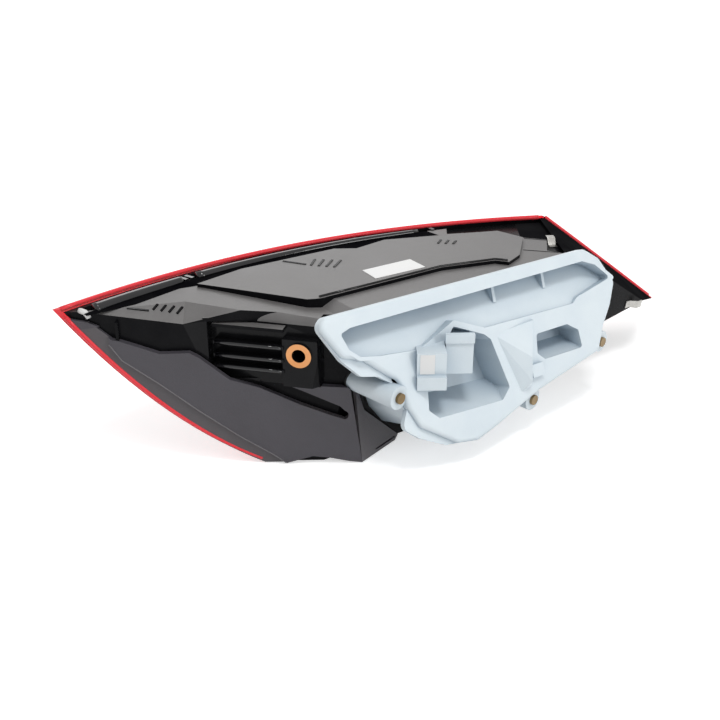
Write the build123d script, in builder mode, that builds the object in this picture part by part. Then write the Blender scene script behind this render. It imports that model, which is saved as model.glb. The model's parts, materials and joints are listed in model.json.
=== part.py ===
"""Tail lamp of a car, lying on its lower edge with the body side towards -Y. Millimetres, +Z up."""

import os
from math import cos, radians, sin

from build123d import *

os.makedirs("parts", exist_ok=True)

# Attitude: plan headings of the end panel, bracket and screws, lean of cover and back, dip of the lens
END_HEADING = -33.6
BRACKET_HEADING = -48.0
SCREW_HEADING = -80.0
COVER_LEAN = 20.0
BACK_LEAN = 8.2
LENS_DIP = 30.0

# Lens outline: upper edge, end panel, upper right corner, right tip and the part that lies flat
LENS_HIGH = 113.0
END_LONG = 128.8
CORNER_X, CORNER_Y = 284.0, 36.0
TIP_X, TIP_Y, TIP_Z = 409.0, 16.0, 20.0
FLAT_LONG = 240.0
LENS_WALL = 3.0
SEALANT = 1.2

# Bow of the lens: control points of its four edges
TOP_PULL = Vector(100, 129, LENS_HIGH)
END_PULL_W, END_PULL_Z = -67.6, 29.7
TIP_PULL = Vector(346, 34, 60)
LOW_PULL = Vector(205, 82, -3)

# Lamp body: walls, drop below the lens edge, back, right cheek and raised tail
WALL = 2.8
TOP_DROP = 2.0
BACK_Y = -22.0
CHEEK = Vector(241, -38, 111)
TAIL_X = 245.0
TAIL_BACK = Vector(299, -30, 41)
TAIL_FOOT = Vector(262, 11.4, 0)
FIT = 0.3

# Glue channel along the upper lens edge and raised area of the top wall
CHANNEL_WIDE, CHANNEL_DEEP, CHANNEL_LIP = 8.0, 3.5, 2.0
RAISED = 2.5
RAISED_OUTLINE = (
    (-13, 58), (25, 66), (101, 64), (115, 55), (143, 59), (200, 37), (227, 26),
    (232, 3), (203, -24), (186, -31), (180, -23), (140, -12), (40, -11.5), (32, -8),
)

# Dip of the top wall between the raised area and the bracket, and the step it leaves
DIP, DIP_FROM, DIP_TO, DIP_END = 4.0, -9.0, 41.0, 50.0
DIP_OUTLINE = ((-13, 58), (32, -8), (40, -11.5), (50, -11.5), (50, -60), (-9, -60), (-14, 0))
STEP_OUTLINE = ((-13, 58), (32, -8), (40, -11.5), (51, -11.5), (51, -7.5), (36, -4.5), (-9, 60))

# Widened end of the glue channel at the upper right corner
CORNER_ROOM = (
    (195, 48), (232, 31), (236.5, 8), (248, -6), (230.5, -24), (236, -36), (300, 20), (300, 60), (220, 80),
)

# Ribbed bracket and bolt boss, along the bracket and up
BRACKET_X, BRACKET_Y = -8.0, 9.0
RECESS_LEFT, RECESS_LOW, RECESS_HIGH, RECESS_WALL = -20.0, 63.0, 103.5, 2.4
RIB_HEIGHTS = (101.0, 89.0, 80.0, 72.5)
RIB_REACH, RIB_THICK = 7.0, 2.2
BOSS_LEFT, BOSS_RIGHT, BOSS_LOW, BOSS_HIGH = 29.0, 52.0, 62.0, 95.0
BOSS_REACH = 6.0
BOLT_S, BOLT_Z = 40.1, 85.0
BOLT_R, BUSH_R, BUSH_LONG, BUSH_LIP, BUSH_LIP_R = 4.5, 6.5, 22.0, 1.6, 8.2
SHOULDER_R = 8.0

# Sloped left shoulder of the top wall, along the end panel: two faces that meet at its lowest place
LOBE_Z, LOBE_WIDE, LOBE_FROM, LOBE_AT, LOBE_TO = 101.6, 16.0, -113.0, -48.0, -10.0

# Rear cover: rim line, rise of the front over that line, wall, edge on the seal, foam
RIM_Y, RIM_Z = -44.3, 113.0
COVER_RISE = 6.0
COVER_WALL = 2.6
COVER_EDGE = 6.0
FOAM = 1.5
FLANGE_N, FLANGE_BACK, LIP_R = 2.0, -2.0, 3.0
CORNER_R = 5.5
FLANGE = (
    (13, -2), (19, 3), (243, 2), (256, -7), (268, -27), (260, -43), (250, -56), (241, -73),
    (177, -86), (136, -99), (117, -104), (92, -100), (73, -90), (61, -80), (68, -66), (62, -51),
    (50, -42), (38, -39), (26, -26),
)
PANEL = (
    (13, -2), (19, 3), (243, 2), (256, -7), (268, -27), (260, -43), (250, -56), (241, -73),
    (177, -86), (136, -99), (117, -104), (100, -101), (86, -91), (73, -82), (66, -66),
    (62, -48), (40, -29), (26, -24),
)
TUB = (
    (57, -7), (238, -7), (249, -14), (257, -27), (249, -43), (240, -55), (231, -69),
    (177, -78), (136, -89), (117, -93), (96, -91), (79, -83), (66, -68), (57, -48),
)

# Recesses of the cover: outline at the front, depth, and three points of the sloping floor
TROUGH = (
    (27, -9), (35, -6.8), (238, -6), (250, -11), (263, -23), (227, -30), (222, -33.5),
    (139, -31.5), (114, -20.5), (103, -25), (82, -32.5), (52, -29), (38, -26), (31, -20),
)
TROUGH_SLOPE = ((0, -34, 4.5), (100, -34, 4.5), (0, -7, -8.5))
LEFT_POCKET = (
    (113, -24.5), (137, -35.5), (142, -40), (151, -76), (143, -83), (88, -80), (81, -73), (83, -60),
    (105, -42), (106, -31),
)
LEFT_SLOPE = ((85, -80, 6), (143, -83.5, 6), (116, -68, -18))
RIGHT_POCKET = ((183, -46.5), (213, -46.5), (223, -53), (224, -66), (187, -65.5), (181, -60))
RIGHT_SLOPE = ((187, -66, 6), (224, -67, 6), (193, -56, -14))
TROUGH_N, LEFT_N, RIGHT_N = -9.0, -18.0, -14.0
RECESS_R = 1.8
TUB_BACK = -75.0
TROUGH_RIBS, RIB_WIDE = (158.0, 205.0), 2.4

# Wedge rib, label block, connector socket and small box on the cover
WEDGE = (
    (146, -38, 5), (182, -35, 5), (160, -83, 5), (170, -82, 5),
    (160, -40, 8), (180, -36, 8), (167, -59, 16), (166, -76, 13),
)
SOCKET = (107, -72.4, 74.9)
SOCKET_WIDE, SOCKET_HIGH, SOCKET_LONG = 18.0, 20.0, 40.0
SOCKET_WALL, SOCKET_DEEP = 2.0, 16.0
HOOD_HIGH, HOOD_THICK = 8.0, 3.0
SOCKET_LIP, SOCKET_LIP_OUT = 6.0, 1.0
PIN_THICK, PIN_WIDE, PIN_LONG, PIN_PITCH = 0.8, 2.2, 7.0, 4.5
BLOCK = (83.8, -72.6, 77.9)
BLOCK_WIDE, BLOCK_HIGH, BLOCK_LONG = 19.0, 15.0, 24.0
LIP_HIGH, LIP_OUT = 9.0, 4.0
STEP_BOX = (171, 182, -75, -66, 9)

# Cover screws: heads on their posts
SCREW_HEADS = ((60, -70, 60), (174, -76, 27), (249, -68, 49))
POST_R, HEAD_R, HEAD_HIGH = 8.0, 3.6, 2.0
SHANK_R, SHANK_PLAY, BITE = 2.0, 0.15, 10.0
NUT_R, NUT_LONG = 5.5, 13.0

# End panel: band, raised face, outlines along the panel and up
BAND, FACE = 2.2, 4.2
EDGE_START, EDGE_PULL, EDGE_END = (-114, 98.9), (-59.5, 28.2), (0.5, 0.6)
FOOT_EDGE = ((15, 0.6), (32.7, 5.7), (44.2, 4.3), (57.8, 1.3), (66, 0.4))
BOX_EDGE = ((58.1, 57), (16, 60.2))
SLOT_UPPER = ((25.3, 56), (51.4, 43.5), (54.7, 40))
SLOT_END = (57, 36.6)
SLOT_LOWER = ((54.6, 33.6), (44.7, 37.1), (24.9, 45.3), (-0.9, 58), (-19.9, 64))
PANEL_TOP = (
    (-38.6, 79.9), (-44.7, 83.5), (-63.9, 83.1), (-76.3, 87.8), (-88.5, 92.2),
    (-92.9, 93), (-101.5, 100.7), (-107.3, 104.9),
)
CREASE = ((-95, 90), (-88, 78.8), (-65.7, 61.9), (-41.2, 41.5), (-15.8, 22.1), (7, 7), (17, -1))
FOOT_TURN, FOOT_THICK = 17.2, 2.0
FOOT_OUTLINE = ((0, 0), (38, 0), (41.9, 3), (36.6, 8), (7.3, 36), (3.1, 50), (0, 57))
FOOT_SLOT = (16, 38, 2.2, 3.4)

# Labels
LABEL_THICK = 0.25
TOP_LABEL = ((91.5, 14.6), (132.2, 13.6), (131.2, -5), (89.7, -3.3))
COVER_LABEL_WIDE, COVER_LABEL_HIGH = 9.5, 13.5

# Spring clips of sheet metal
SHEET = 0.8
TOP_CLIP = (246.8, -15)
END_CLIP = (320, 49)
CLIP_WIDE, CLIP_LONG, CLIP_HIGH = 6.0, 14.0, 5.0

# Frame behind the lens, light bar, reflector cups, boards and light emitting diodes
BEZEL_DEPTH, BEZEL_THICK = 6.5, 2.5
GUIDE_THICK, GUIDE_LOW, GUIDE_HIGH, GUIDE_LEFT, GUIDE_RIGHT = 2.3, 88.0, 96.0, -50.0, 250.0
STOP_AT, STOP_FLARE = Vector(110, 30, 72), 24.0
TURN_AT, TURN_FLARE = Vector(212, 20, 70), 20.0
CUP_WALL, CUP_NECK, CUP_WIDE, CUP_HIGH, CUP_REACH, FLOOR_THICK = 1.8, 17.0, 34.0, 26.0, 60.0, 4.0
BOARD_THICK = 1.6
LED_SIDE, LED_HIGH, LED_RING, LED_COUNT = 3.2, 1.2, 4.6, 4
SMALL_R, SMALL_HEAD_R, SMALL_HEAD_HIGH, SMALL_LONG, SMALL_RING = 1.0, 2.2, 1.4, 4.0, 12.5
DRIVER_X, DRIVER_Y, DRIVER_LONG, DRIVER_WIDE = 150.0, 4.0, 70.0, 34.0
STUD_R, STUD_HIGH, STUD_IN = 3.6, 8.0, 4.5


def heading(angle):
    """Unit vector in plan at an angle from X."""
    return Vector(cos(radians(angle)), sin(radians(angle)), 0)


def upright(origin, angle):
    """Upright plane along a plan heading, local x along it, local y up, facing the body side."""
    return Plane(origin=origin, x_dir=heading(angle), z_dir=heading(angle - 90))


end_plane = upright((0, 0, 0), END_HEADING)
bracket_plane = upright((BRACKET_X, BRACKET_Y, 0), BRACKET_HEADING)
back_plane = Plane(
    origin=(0, BACK_Y, 0),
    x_dir=(1, 0, 0),
    z_dir=(0, -cos(radians(BACK_LEAN)), -sin(radians(BACK_LEAN))),
)
cover_plane = Plane(
    origin=(0, RIM_Y, RIM_Z),
    x_dir=(1, 0, 0),
    z_dir=(0, -cos(radians(COVER_LEAN)), sin(radians(COVER_LEAN))),
)
lens_axis = Vector(0, cos(radians(LENS_DIP)), -sin(radians(LENS_DIP)))

# Corners of the lens
left_tip = end_plane.from_local_coords(Vector(-END_LONG, LENS_HIGH, 0))
low_corner = Vector(0, 0, 0)
top_corner = Vector(CORNER_X, CORNER_Y, LENS_HIGH)
right_tip = Vector(TIP_X, TIP_Y, TIP_Z)
end_pull = end_plane.from_local_coords(Vector(END_PULL_W, END_PULL_Z, 0))
centre_pull = (
    (TOP_PULL + LOW_PULL + end_pull + TIP_PULL) / 2
    - (left_tip + low_corner + top_corner + right_tip) / 4
)

# Planes that bound the lens and the lamp body, all facing outwards
table = Plane(origin=(0, 0, 0), z_dir=(0, 0, -1))
rise = Plane(origin=(FLAT_LONG, 0, 0), z_dir=(TIP_Z, 0, FLAT_LONG - TIP_X))
lens_top = Plane(origin=(0, 0, LENS_HIGH), z_dir=(0, 0, 1))
lens_right = Plane(origin=top_corner, z_dir=(right_tip - top_corner).cross(Vector(0, 1, 0)))
body_top = lens_top.offset(-TOP_DROP)
cheek = Plane(origin=top_corner, z_dir=(right_tip - top_corner).cross(top_corner - CHEEK))
tail_low = Plane(origin=right_tip, z_dir=(TAIL_FOOT - TAIL_BACK).cross(right_tip - TAIL_BACK))


def stretched(points, before, after):
    """Control points of the same parabola, run on past its start and its end by these shares."""
    a, b = -before, 1 + after

    def pole(p, q):
        ends = points[0] * ((1 - p) * (1 - q)) + points[2] * (p * q)
        return ends + points[1] * (p * (1 - q) + q * (1 - p))

    return [pole(a, a), pole(a, b), pole(b, b)]


def lens_face():
    """Outer face of the lens, run on past its edges, most at the foot, so that planes can trim it."""
    rows = [
        [left_tip, TOP_PULL, top_corner],
        [end_pull, centre_pull, TIP_PULL],
        [low_corner, LOW_PULL, right_tip],
    ]
    rows = [stretched(row, 0.1, 0.1) for row in rows]
    columns = [stretched([row[i] for row in rows], 0.1, 0.5) for i in range(3)]
    return Face.make_bezier_surface(columns)


def behind_lens(depth, thick, trims):
    """Solid that follows the lens from a depth behind its face, trimmed by outward planes."""
    with BuildPart() as volume:
        extrude(lens_face().moved(Location(lens_axis * -depth)), amount=thick, dir=lens_axis * -1)
        for plane in trims:
            split(bisect_by=plane, keep=Keep.BOTTOM)
    return volume.part


def body_walls(inset):
    """Outward planes of the lamp body, moved in by inset."""
    planes = [body_top, end_plane.offset(-FIT), cheek, table, rise, back_plane]
    return [plane.offset(-inset) for plane in planes]


def lamp_volume(depth, inset):
    """Space of the lamp body from a depth behind the lens face, with its walls moved in by inset."""
    block = behind_lens(depth, 300, body_walls(inset))
    with BuildPart() as under_tail:
        add(block)
        split(bisect_by=tail_low.offset(-inset), keep=Keep.TOP)
        split(bisect_by=Plane(origin=(TAIL_X - inset, 0, 0), z_dir=(1, 0, 0)), keep=Keep.TOP)
    with BuildPart() as volume:
        add(block)
        add(under_tail.part, mode=Mode.SUBTRACT)
    return volume.part


def bracket_box(left, right, low, high, near, far):
    """Box in the bracket's directions: along it, up, and out from its face."""
    with BuildPart() as box:
        with BuildSketch(bracket_plane.offset(near)):
            with Locations(((left + right) / 2, (low + high) / 2)):
                Rectangle(right - left, high - low)
        extrude(amount=far - near)
    return box.part


def faced(point, wide, high, near, far):
    """Box that faces the way the end panel does, from a point on its face."""
    with BuildPart() as box:
        with BuildSketch(upright(point, END_HEADING).offset(near)):
            Rectangle(wide, high)
        extrude(amount=far - near)
    return box.part


def cover_prism(outline, low, high, grow=0, corner=CORNER_R):
    """Prism square to the cover's face, from an outline grown by some amount, with round corners."""
    with BuildPart() as prism:
        with BuildSketch(cover_plane.offset(low)) as base:
            Polygon(*outline)
            if grow:
                offset(amount=grow, kind=Kind.INTERSECTION)
            fillet(base.vertices(), corner)
        extrude(amount=high - low)
    return prism.part


def recess(outline, slope, level, grow=0):
    """Space of a recess of the cover: its outline down to a level, over a sloping floor."""
    points = [cover_plane.from_local_coords(Vector(*point)) for point in slope]
    across = (points[1] - points[0]).cross(points[2] - points[0])
    outward = across if across.dot(cover_plane.z_dir) < 0 else across * -1
    with BuildPart() as space:
        add(cover_prism(outline, level - grow, COVER_RISE, grow, RECESS_R))
        split(bisect_by=Plane(origin=points[0], z_dir=outward).offset(grow), keep=Keep.BOTTOM)
    return space.part


def rod(plane, radius, length, back=0):
    """Round rod from a plane, along its normal, starting a little behind it if asked."""
    with BuildPart() as round_bar:
        with BuildSketch(plane.offset(-back)):
            Circle(radius)
        extrude(amount=length + back)
    return round_bar.part


pieces = {}


def finish(builder, name):
    """Labels a finished piece and keeps it for writing."""
    builder.part.label = name
    pieces[name] = builder.part


# Red outer lens
with BuildPart() as outer_lens:
    add(behind_lens(0, LENS_WALL, [lens_top, end_plane, lens_right, table, rise]))
finish(outer_lens, "outer_lens")

# Black lamp body
seat = LENS_WALL + SEALANT
top_z = LENS_HIGH - TOP_DROP
bed_z = top_z - CHANNEL_DEEP - WALL
channel_low = Plane(origin=(0, 0, bed_z + WALL), z_dir=(0, 0, -1))
bed_low = Plane(origin=(0, 0, bed_z), z_dir=(0, 0, -1))
body_block = lamp_volume(seat, 0)
chamber = lamp_volume(0, WALL)
channel_bed = behind_lens(seat, CHANNEL_LIP + CHANNEL_WIDE + WALL, body_walls(0) + [bed_low])
channel = behind_lens(
    seat + CHANNEL_LIP, CHANNEL_WIDE, [channel_low, end_plane.offset(-WALL), cheek.offset(-WALL)]
)

# Dip of the top wall: its floor slab and what is cut away above it
dip_low = top_z - DIP
with BuildPart() as dip_bed:
    with BuildSketch(Plane(origin=(0, 0, dip_low - WALL))):
        Polygon(*DIP_OUTLINE)
    extrude(amount=DIP + WALL)
    add(body_block, mode=Mode.INTERSECT)
with BuildPart() as dip_cut:
    with BuildSketch(Plane(origin=(0, 100, 0), x_dir=(1, 0, 0), z_dir=(0, -1, 0))):
        Polygon(
            (DIP_FROM, top_z), (DIP_TO, dip_low), (DIP_END, top_z),
            (DIP_END, top_z + DIP), (DIP_FROM, top_z + DIP),
        )
    extrude(amount=200)
    with BuildSketch(Plane(origin=(0, 0, dip_low - WALL))):
        Polygon(*DIP_OUTLINE)
    extrude(amount=3 * DIP + WALL, mode=Mode.INTERSECT)

# Widened end of the channel: its floor slab and the room over it
with BuildPart() as corner_bed:
    with BuildSketch(Plane(origin=(0, 0, bed_z))):
        Polygon(*CORNER_ROOM)
        offset(amount=WALL, kind=Kind.INTERSECTION)
    extrude(amount=CHANNEL_DEEP + WALL)
    add(body_block, mode=Mode.INTERSECT)
with BuildPart() as corner_room:
    add(behind_lens(seat + CHANNEL_LIP, 150, [channel_low, cheek.offset(-WALL)]))
    with BuildSketch(Plane(origin=(0, 0, bed_z))):
        Polygon(*CORNER_ROOM)
    extrude(amount=4 * CHANNEL_DEEP, mode=Mode.INTERSECT)

# Sloped left shoulder: its wall and what is cut away above it
lobe_low = end_plane.from_local_coords(Vector(LOBE_AT, LOBE_Z, 0))
lobe_ends = [
    end_plane.from_local_coords(Vector(LOBE_FROM, top_z, 0)),
    end_plane.from_local_coords(Vector(LOBE_TO, top_z, 0)),
    end_plane.from_local_coords(Vector(LOBE_AT, top_z, -LOBE_WIDE)),
]
lobe_rays = [lobe_low + (point - lobe_low) * 1.2 for point in lobe_ends]
lobe_points = [lobe_low, *lobe_rays]
lobe_points += [point + end_plane.z_dir * WALL for point in (lobe_low, *lobe_rays[:2])]
lobe_drop = 1.4 * WALL
with BuildPart() as lobe_wall:
    ConvexPolyhedron([point - Vector(0, 0, lobe_drop) for point in lobe_points])
    add(body_block, mode=Mode.INTERSECT)
with BuildPart() as lobe_cut:
    ConvexPolyhedron(lobe_points)

# Ribbed recess and bracket arm
recess_room = bracket_box(RECESS_LEFT, BOSS_LEFT, RECESS_LOW, RECESS_HIGH, 0, 60)
recess_shell = bracket_box(
    RECESS_LEFT - RECESS_WALL,
    BOSS_LEFT,
    RECESS_LOW - RECESS_WALL,
    RECESS_HIGH + RECESS_WALL,
    -RECESS_WALL,
    60,
)
with BuildPart() as recess_walls:
    add(body_block)
    add(recess_shell, mode=Mode.INTERSECT)
with BuildPart() as bracket_arm:
    add(bracket_box(-RECESS_WALL, BOSS_RIGHT, RECESS_LOW - RECESS_WALL, top_z, -40, 0))
    crest = bracket_plane.from_local_coords(Vector(BOSS_RIGHT / 2, top_z, 0))
    fillet(bracket_arm.edges().sort_by_distance(crest)[0], SHOULDER_R)
    split(bisect_by=end_plane.offset(-WALL - FIT), keep=Keep.TOP)
    split(bisect_by=back_plane, keep=Keep.BOTTOM)

# Screw axes, from the heads to the body
screw_planes = [Plane(origin=head, z_dir=heading(SCREW_HEADING)) for head in SCREW_HEADS]
bolt_plane = Plane(
    origin=bracket_plane.from_local_coords(Vector(BOLT_S, BOLT_Z, BOSS_REACH)),
    x_dir=bracket_plane.x_dir,
    z_dir=bracket_plane.z_dir,
)
seal_plane = back_plane.offset(FOAM)


def wall_depth(plane):
    """Distance along a screw from its head to the outside of the body's back wall."""
    return (plane.origin - back_plane.origin).dot(back_plane.z_dir) / plane.z_dir.dot(back_plane.z_dir)


driver_spots = [
    (DRIVER_X + i * (DRIVER_LONG / 2 - STUD_IN), DRIVER_Y + j * (DRIVER_WIDE / 2 - STUD_IN))
    for i in (-1, 1)
    for j in (-1, 1)
]

# Opening of the back wall behind the cover's tub
with BuildPart() as opening:
    add(cover_prism(TUB, TUB_BACK, 0, -COVER_EDGE, RECESS_R))
    split(bisect_by=back_plane.offset(1), keep=Keep.BOTTOM)
    split(bisect_by=back_plane.offset(-WALL - 1), keep=Keep.TOP)

with BuildPart() as lamp_body:
    add(body_block)
    add(chamber, mode=Mode.SUBTRACT)
    add(channel_bed)
    add(corner_bed.part)
    add(dip_bed.part)
    add(channel, mode=Mode.SUBTRACT)
    add(corner_room.part, mode=Mode.SUBTRACT)
    add(lobe_wall.part)
    add(lobe_cut.part, mode=Mode.SUBTRACT)
    add(recess_walls.part)
    add(recess_room, mode=Mode.SUBTRACT)
    add(bracket_arm.part)
    add(dip_cut.part, mode=Mode.SUBTRACT)
    for z in RIB_HEIGHTS:
        low, high = z - RIB_THICK / 2, z + RIB_THICK / 2
        add(bracket_box(RECESS_LEFT + 3, BOSS_LEFT + 1, low, high, -1, RIB_REACH))
    add(bracket_box(BOSS_LEFT, BOSS_RIGHT, BOSS_LOW, BOSS_HIGH, -1, BOSS_REACH))
    with BuildSketch(Plane(origin=(0, 0, top_z - 1))):
        Polygon(*RAISED_OUTLINE)
    extrude(amount=RAISED + 1)
    with BuildSketch(Plane(origin=(0, 0, dip_low - 1))):
        Polygon(*STEP_OUTLINE)
    extrude(amount=DIP + 1)
    add(opening.part, mode=Mode.SUBTRACT)
    for plane in screw_planes:
        wall = plane.offset(-wall_depth(plane))
        with BuildSketch(wall.offset(-NUT_LONG)):
            Circle(NUT_R)
        extrude(amount=NUT_LONG)
    add(rod(bolt_plane, BUSH_R + WALL + FIT, -BUSH_LONG - WALL))
    split(bisect_by=back_plane, keep=Keep.BOTTOM)
    add(rod(bolt_plane, BUSH_R + FIT, -BUSH_LONG), mode=Mode.SUBTRACT)
    for plane in screw_planes:
        wall = plane.offset(-wall_depth(plane))
        with BuildSketch(wall.offset(-BITE)):
            Circle(SHANK_R + SHANK_PLAY)
        extrude(amount=BITE + 5, mode=Mode.SUBTRACT)
    with BuildSketch(Plane(origin=(0, 0, WALL - 1))):
        with Locations(*driver_spots):
            Circle(STUD_R)
    extrude(amount=STUD_HIGH + 1)
    with BuildSketch(Plane(origin=(0, 0, WALL + 2))):
        with Locations(*driver_spots):
            Circle(SMALL_R + SHANK_PLAY)
    extrude(amount=STUD_HIGH, mode=Mode.SUBTRACT)
finish(lamp_body, "lamp_body")

# Black bead between the lens and the body
with BuildPart() as lens_sealant:
    add(behind_lens(LENS_WALL + FIT, SEALANT - FIT, body_walls(0)))
    add(chamber, mode=Mode.SUBTRACT)
finish(lens_sealant, "lens_sealant")

# Light grey rear cover, moulded in one with its socket, posts and ribs
recesses = (
    (TROUGH, TROUGH_SLOPE, TROUGH_N),
    (LEFT_POCKET, LEFT_SLOPE, LEFT_N),
    (RIGHT_POCKET, RIGHT_SLOPE, RIGHT_N),
)
with BuildPart() as front_panel:
    add(cover_prism(PANEL, FLANGE_BACK, COVER_RISE))
    lip = front_panel.faces().sort_by(Axis(cover_plane.origin, cover_plane.z_dir))[-1]
    fillet(lip.edges(), LIP_R)
with BuildPart() as rear_cover:
    add(cover_prism(FLANGE, FLANGE_BACK, FLANGE_N))
    add(front_panel.part)
    add(cover_prism(TUB, TUB_BACK, 0))
    add(cover_prism(TUB, TUB_BACK, COVER_RISE - COVER_WALL, -COVER_WALL), mode=Mode.SUBTRACT)
    for outline, slope, level in recesses:
        add(recess(outline, slope, level, COVER_WALL))
    for outline, slope, level in recesses:
        add(recess(outline, slope, level), mode=Mode.SUBTRACT)
    for along in TROUGH_RIBS:
        with BuildSketch(cover_plane.offset(TROUGH_N - 1)):
            with Locations((along, -12)):
                Rectangle(RIB_WIDE, 12)
        extrude(amount=8)
    ConvexPolyhedron([cover_plane.from_local_coords(Vector(*point)) for point in WEDGE])
    add(faced(SOCKET, SOCKET_WIDE, SOCKET_HIGH, -SOCKET_LONG, 0))
    hood = Vector(*SOCKET) + Vector(0, 0, (SOCKET_HIGH + HOOD_HIGH) / 2)
    add(faced(hood, SOCKET_WIDE, HOOD_HIGH, -HOOD_THICK, 0))
    socket_lip = hood + Vector(0, 0, (HOOD_HIGH - SOCKET_LIP) / 2)
    add(faced(socket_lip, SOCKET_WIDE + SOCKET_LIP_OUT, SOCKET_LIP, -HOOD_THICK, SOCKET_LIP_OUT))
    socket_mouth = Vector(*SOCKET) + end_plane.x_dir * SOCKET_WALL
    add(
        faced(socket_mouth, SOCKET_WIDE, SOCKET_HIGH - 2 * SOCKET_WALL, -SOCKET_DEEP, -SOCKET_WALL),
        mode=Mode.SUBTRACT,
    )
    add(faced(BLOCK, BLOCK_WIDE, BLOCK_HIGH, -BLOCK_LONG, 0))
    lip_at = Vector(*BLOCK) - Vector(0, 0, (BLOCK_HIGH + LIP_HIGH) / 2)
    add(faced(lip_at, BLOCK_WIDE, LIP_HIGH, -BLOCK_LONG, LIP_OUT))
    left, right, low, high, out = STEP_BOX
    with BuildSketch(cover_plane):
        with Locations(((left + right) / 2, (low + high) / 2)):
            Rectangle(right - left, high - low)
    extrude(amount=out)
    for plane in screw_planes:
        add(rod(plane, POST_R, -wall_depth(plane) - POST_R))
    split(bisect_by=seal_plane, keep=Keep.TOP)
    for plane in screw_planes:
        add(rod(plane, SHANK_R + FIT, -wall_depth(plane) - POST_R), mode=Mode.SUBTRACT)
finish(rear_cover, "rear_cover")

# Foam seal under the edge of the cover and round its screws
with BuildPart() as cover_seal:
    add(cover_prism(TUB, TUB_BACK, 0))
    for plane in screw_planes:
        add(rod(plane, POST_R, -wall_depth(plane) - POST_R))
    add(cover_prism(TUB, TUB_BACK, 0, -COVER_EDGE, RECESS_R), mode=Mode.SUBTRACT)
    split(bisect_by=back_plane, keep=Keep.TOP)
    split(bisect_by=seal_plane, keep=Keep.BOTTOM)
    for plane in screw_planes:
        add(rod(plane, SHANK_R + FIT, -wall_depth(plane) - POST_R), mode=Mode.SUBTRACT)
finish(cover_seal, "cover_seal")

# Brass-coloured screws of the cover
with BuildPart() as cover_screws:
    for plane in screw_planes:
        add(rod(plane, HEAD_R, HEAD_HIGH))
        add(rod(plane, SHANK_R, -wall_depth(plane) - BITE + 1))
finish(cover_screws, "cover_screws")

# Terminals on the floor of the socket, pointing to its mouth
pin_middle = end_plane.z_dir * (-(SOCKET_DEEP + SOCKET_WALL) / 2)
pin_floor = Vector(*SOCKET) + pin_middle - end_plane.x_dir * (SOCKET_WIDE / 2 - SOCKET_WALL)
with BuildPart() as connector_pins:
    with BuildSketch(Plane(origin=pin_floor, x_dir=(0, 0, 1), z_dir=end_plane.x_dir)):
        with GridLocations(PIN_PITCH, PIN_PITCH, 4, 2):
            Rectangle(PIN_WIDE, PIN_THICK)
    extrude(amount=PIN_LONG)
finish(connector_pins, "connector_pins")

# Matt end panel with slot and foot
with BuildPart() as side_skirt:
    with BuildSketch(end_plane) as panel:
        with BuildLine():
            Bezier(EDGE_START, EDGE_PULL, EDGE_END)
            Polyline(EDGE_END, *FOOT_EDGE, *BOX_EDGE, *SLOT_UPPER)
            ThreePointArc(SLOT_UPPER[-1], SLOT_END, SLOT_LOWER[0])
            Polyline(*SLOT_LOWER, *PANEL_TOP, EDGE_START)
        make_face()
    extrude(amount=BAND)
    with BuildSketch(end_plane):
        add(panel.sketch_local)
        corners = ((END_LONG, -1), (END_LONG, LENS_HIGH), (CREASE[0][0], LENS_HIGH))
        Polygon(*CREASE, *corners, mode=Mode.INTERSECT)
    extrude(amount=FACE)
    foot_low = end_plane.from_local_coords(Vector(*FOOT_EDGE[-1], FACE))
    foot_high = end_plane.from_local_coords(Vector(*BOX_EDGE[0], FACE))
    foot_along = heading(FOOT_TURN)
    foot_plane = Plane(origin=foot_low, x_dir=foot_along, z_dir=foot_along.cross(foot_high - foot_low))
    with BuildSketch(foot_plane):
        Polygon(*FOOT_OUTLINE)
        left, right, low, high = FOOT_SLOT
        with Locations(((left + right) / 2, (low + high) / 2)):
            Rectangle(right - left, high - low, mode=Mode.SUBTRACT)
    extrude(amount=-FOOT_THICK)
    for plane in screw_planes:
        add(rod(plane, POST_R + 1, -wall_depth(plane) - POST_R), mode=Mode.SUBTRACT)
finish(side_skirt, "side_skirt")

# Copper-coloured bush of the bolt
with BuildPart() as mount_bush:
    add(rod(bolt_plane, BUSH_R, -BUSH_LONG))
    add(rod(bolt_plane, BUSH_LIP_R, BUSH_LIP))
    add(rod(bolt_plane.offset(BUSH_LIP), BOLT_R, -BUSH_LONG - BUSH_LIP), mode=Mode.SUBTRACT)
finish(mount_bush, "mount_bush")

# Bare white labels
with BuildPart() as top_label:
    with BuildSketch(Plane(origin=(0, 0, top_z + RAISED))):
        Polygon(*TOP_LABEL)
    extrude(amount=LABEL_THICK)
finish(top_label, "top_label")
with BuildPart() as cover_label:
    with BuildSketch(upright(BLOCK, END_HEADING)):
        with Locations(((COVER_LABEL_WIDE - BLOCK_WIDE) / 2 + 2, 0)):
            Rectangle(COVER_LABEL_WIDE, COVER_LABEL_HIGH)
    extrude(amount=LABEL_THICK)
finish(cover_label, "cover_label")


def clip(plane):
    """Bent spring clip standing on a plane, its profile along the plane's x and out from it."""
    profile = Plane(origin=plane.origin, x_dir=plane.x_dir, z_dir=plane.x_dir.cross(plane.z_dir))
    third = CLIP_LONG / 3
    with BuildPart() as strip:
        with BuildSketch(profile):
            Polygon(
                (0, 0), (third, 0), (2 * third, CLIP_HIGH - SHEET), (CLIP_LONG, CLIP_HIGH - SHEET),
                (CLIP_LONG, CLIP_HIGH), (2 * third - SHEET / 2, CLIP_HIGH),
                (third - SHEET / 2, SHEET), (0, SHEET),
            )
        extrude(amount=CLIP_WIDE / 2, both=True)
    return strip.part


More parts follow.
